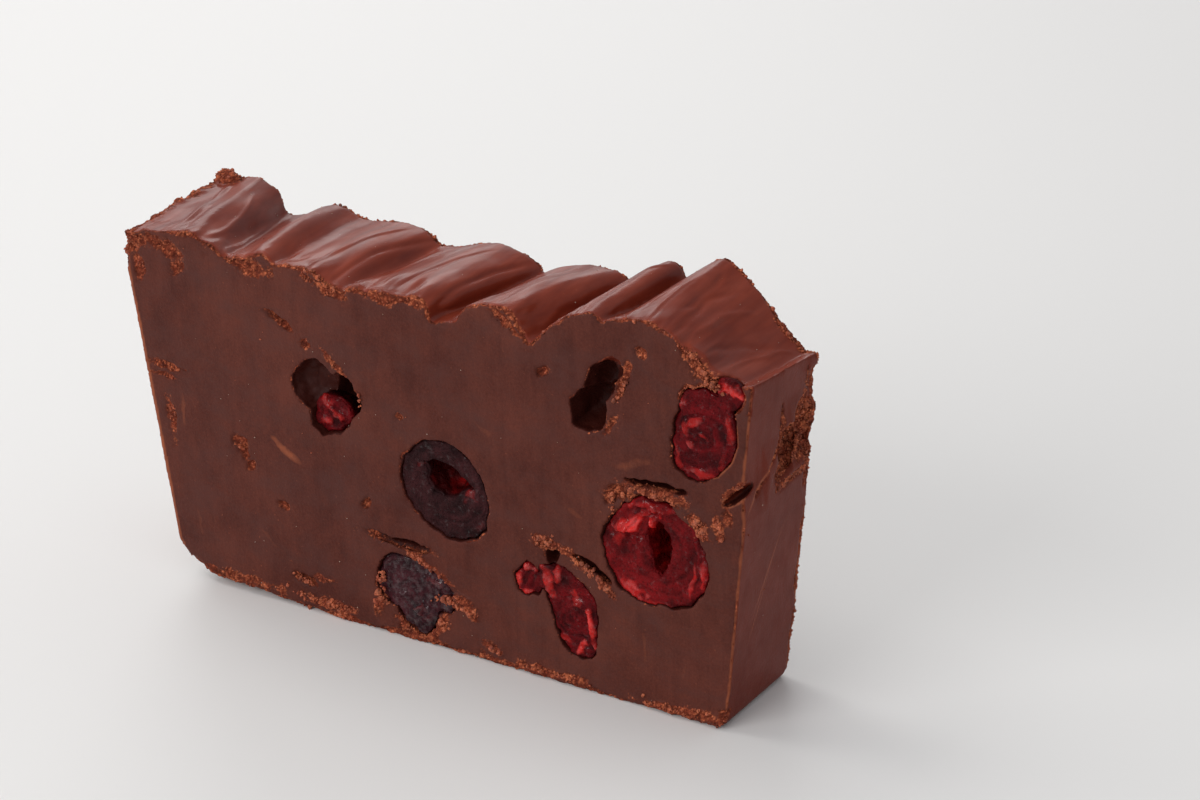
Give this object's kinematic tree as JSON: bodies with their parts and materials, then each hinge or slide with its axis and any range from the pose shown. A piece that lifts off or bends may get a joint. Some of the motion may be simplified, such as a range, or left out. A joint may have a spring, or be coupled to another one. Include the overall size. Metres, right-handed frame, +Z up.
{
  "type": "slice of chocolate cherry fudge",
  "caption": "Upright slice of chocolate fudge with a spatula-swirled glossy top, flat cut faces with crumbled edges, and pitted cherries cut through at the front.",
  "frame": {"origin": "on the surface that the slice stands on, under the middle of its bounding box", "axes": "+X along the slice's length towards its tall swirled end, -Y out of the cut front face that shows the cherries, +Z up"},
  "size_m": [0.126, 0.029, 0.0737],
  "materials": {
    "fudge": "satin cut faces, glossy swirled top",
    "dark_cherry": "moist, dark purple cut flesh",
    "red_cherry": "moist, deep red cut flesh"
  },
  "bodies": {
    "root": {"fudge": "fudge", "cherry_dark": "dark_cherry", "cherry_bottom": "dark_cherry", "cherry_red": "red_cherry", "cherry_upper": "red_cherry", "cherry_curl": "red_cherry", "cherry_pocket": "red_cherry"}
  },
  "joints": []
}
